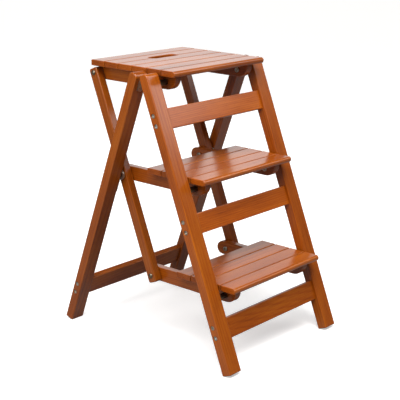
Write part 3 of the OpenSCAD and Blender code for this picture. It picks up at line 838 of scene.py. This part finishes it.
# Pan head screw along Z from the head's top at zero, with a cross recess and a ridged thread
def panScrew(settings):
    r, height = settings["headRadius"], settings["headHeight"]
    shank, length = settings["shank"], settings["length"]
    rows = [(r - 1.1, noHex, 0.0), (r - 0.4, noHex, 0.25), (r - 0.05, noHex, 0.8), (r, noHex, 1.4),
            (r, noHex, height - 0.2), (shank, noHex, height)]
    rows += [(shank - 0.35 * (k % 2), noHex, height + 0.6 + 0.5 * k) for k in range(62)]
    rows.append((0.4, noHex, length))
    return carved(turned(rows, 32), crossShape(2.1, 0.5, 1.6))


screw = panScrew(boardScrews)
for level in levels:
    matrices = []
    for sideName in sides:
        low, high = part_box(f"{level}_bearer_{sideName}")
        x, z = (low[0] + high[0]) / 2, low[2] + boardScrews["sunk"] * mm
        matrices += [facing((x, y, z), (0, 0, 1), 0.7 * k) for k, y in enumerate(screwRows(level))]
    fastenerPiece(f"{level}_board_screws", screw, matrices, level + "_step")

r, length = hinges["pinRadius"], hinges["pinLength"]
ease = [(r - 0.85, noHex, 0.0), (r - 0.25, noHex, 0.15), (r, noHex, 0.5)]
pinRows = ease + [(radius, noHex, length - z) for radius, _, z in ease[::-1]]
matrices = [facing((side * hingeMiddle - length / 2 * mm, *hingePin), (1, 0, 0))
            for side in sides.values()]
fastenerPiece("hinge_pins", turned(pinRows, 32), matrices, "front_frame")


# A merged copy of a stamped steel node, its edges eased by a bevel
def eased(node, body, width):
    piece = frame["nodes"][node].copy()
    piece.data = frame["nodes"][node].data.copy()
    piece.name = node + "_zinc"
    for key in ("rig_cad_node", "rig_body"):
        if key in piece:
            del piece[key]
    piece.parent = None
    bm = bmesh.new()
    bm.from_mesh(piece.data)
    bmesh.ops.remove_doubles(bm, verts=bm.verts, dist=1e-6)
    bmesh.ops.dissolve_limit(bm, angle_limit=math.radians(1), verts=bm.verts, edges=bm.edges)
    bm.to_mesh(piece.data)
    bm.free()
    finishMesh(piece, zincPlate)
    bevel = piece.modifiers.new("ease", "BEVEL")
    bevel.width, bevel.segments, bevel.limit_method = width, 2, "ANGLE"
    bevel.angle_limit = math.radians(50)
    return settle(piece, body, "zinc_fasteners", node)


eased("hinge_front_leaves", "front_frame", 0.25 * mm)
eased("hinge_rear_leaves", "rear_frame", 0.25 * mm)
eased("rest_plates", "rear_frame", 0.35 * mm)

# The inserts are buried in the stiles and keep their CAD shape
frame["nodes"]["front_pivot_inserts"].data.materials.clear()
frame["nodes"]["front_pivot_inserts"].data.materials.append(zincPlate)

print("setting floor, lights and camera")

# The floor is pale to the camera and darker to the light that bounces off it
ground = {"half": 12.0, "seen": (0.90, 0.895, 0.89), "bounce": (0.24, 0.23, 0.22), "roughness": 0.8,
          "glow": 0.42}
floorMaterial = bpy.data.materials.new("pale floor")
net = Net(floorMaterial)
seen = Socket(net, net.node("ShaderNodeLightPath").output.node.outputs["Is Camera Ray"])
net.surface({"Base Color": net.mix(seen, ground["bounce"], ground["seen"]),
             "Roughness": ground["roughness"],
             "Emission Color": (1.0, 1.0, 1.0, 1.0), "Emission Strength": seen * ground["glow"]})
square = [(x * ground["half"], y * ground["half"], 0) for x, y in ((-1, -1), (1, -1), (1, 1), (-1, 1))]
floorMesh = bpy.data.meshes.new("floor")
floorMesh.from_pydata(square, [], [[0, 1, 2, 3]])
floorMesh.materials.append(floorMaterial)
floor = bpy.data.objects.new("floor", floorMesh)
bpy.context.scene.collection.objects.link(floor)


# The direction from the middle towards an azimuth (0 is the front, 90 the right) and an elevation
def toward(azimuth, elevation):
    a, e = math.radians(azimuth), math.radians(elevation)
    return np.array([math.sin(a) * math.cos(e), -math.cos(a) * math.cos(e), math.sin(e)])


# The backdrop is white where it is seen, and elsewhere a dim room with one bright wall behind
studio = {"backdrop": 1.0, "room": 0.07, "glow": 1.0, "wall": (142, 8), "wallEdge": (0.88, 0.975)}
world = bpy.data.worlds.new("studio")
bpy.context.scene.world = world
net = Net(world)
seen = Socket(net, net.node("ShaderNodeLightPath").output.node.outputs["Is Camera Ray"])
way = Socket(net, net.node("ShaderNodeTexCoord").output.node.outputs["Generated"])
behind = net.node("ShaderNodeVectorMath", {"operation": "DOT_PRODUCT"},
                  {0: way, 1: tuple(toward(*studio["wall"]))}, output=1)
glow = studio["room"] + behind.smooth(*studio["wallEdge"]) * studio["glow"]
room = net.node("ShaderNodeBackground", {}, {"Color": (1.0, 0.98, 0.96, 1.0), "Strength": glow})
backdrop = net.node("ShaderNodeBackground", {},
                    {"Color": (1.0, 1.0, 1.0, 1.0), "Strength": studio["backdrop"]})
both = net.node("ShaderNodeMixShader", {}, {0: seen, 1: room, 2: backdrop})
net.node("ShaderNodeOutputWorld", {}, {"Surface": both})

# The key is a broad overhead sheet, far enough away to be a soft sun
keyLight = {"azimuth": -52, "elevation": 60, "spread": 40, "strength": 2.1, "colour": (1.0, 0.985, 0.965)}
data = bpy.data.lights.new("key", "SUN")
data.energy = keyLight["strength"]
data.angle = math.radians(keyLight["spread"])
data.color = keyLight["colour"]
light = bpy.data.objects.new("key", data)
light.matrix_world = facing((0, 0, 2), toward(keyLight["azimuth"], keyLight["elevation"]))
bpy.context.scene.collection.objects.link(light)

# Panels: azimuth, then distance, height of the middle, width and height in metres, and watts
panels = {"front window": (48, 2.2, 2.0, 1.4, 1.3, 17.0),
          "left window": (-95, 1.7, 1.25, 1.3, 1.1, 20.0),
          "overhead": (-40, 0.95, 1.9, 0.9, 0.9, 22.0),
          "back fill": (150, 2.4, 1.7, 1.6, 1.4, 16.0)}
for name, (azimuth, distance, middle, width, height, watts) in panels.items():
    data = bpy.data.lights.new(name, "AREA")
    data.shape, data.size, data.size_y, data.energy = "RECTANGLE", width, height, watts
    light = bpy.data.objects.new(name, data)
    place = toward(azimuth, 0) * distance + np.array([0, 0, middle])
    light.matrix_world = facing(place, place - np.array([0, 0, 0.5]))  # aimed half a metre up
    light.visible_glossy = name != "back fill"  # it lightens the back, and the varnish doesn't mirror it
    bpy.context.scene.collection.objects.link(light)

# The camera looks along its azimuth and down by its elevation, and is rolled about that direction
view = {"place": (-1.92886, -1.63131, 1.03650), "azimuth": -49.683, "elevation": 15.811, "roll": 0.954,
        "lens": 96.57}
a, e, roll = (math.radians(view[key]) for key in ("azimuth", "elevation", "roll"))
ahead = np.array([-math.sin(a) * math.cos(e), math.cos(a) * math.cos(e), -math.sin(e)])
right = np.array([math.cos(a), math.sin(a), 0.0])
up = np.cross(right, ahead)
right, up = math.cos(roll) * right + math.sin(roll) * up, math.cos(roll) * up - math.sin(roll) * right
pose = np.eye(4)
pose[:3, :3] = np.stack([right, up, -ahead], 1)
pose[:3, 3] = view["place"]
cameraData = bpy.data.cameras.new("camera")
cameraData.lens, cameraData.sensor_width = view["lens"], 36.0
camera = bpy.data.objects.new("camera", cameraData)
camera.matrix_world = Matrix(pose.tolist())
bpy.context.scene.collection.objects.link(camera)
bpy.context.scene.camera = camera
bpy.context.scene.view_settings.view_transform = "Standard"
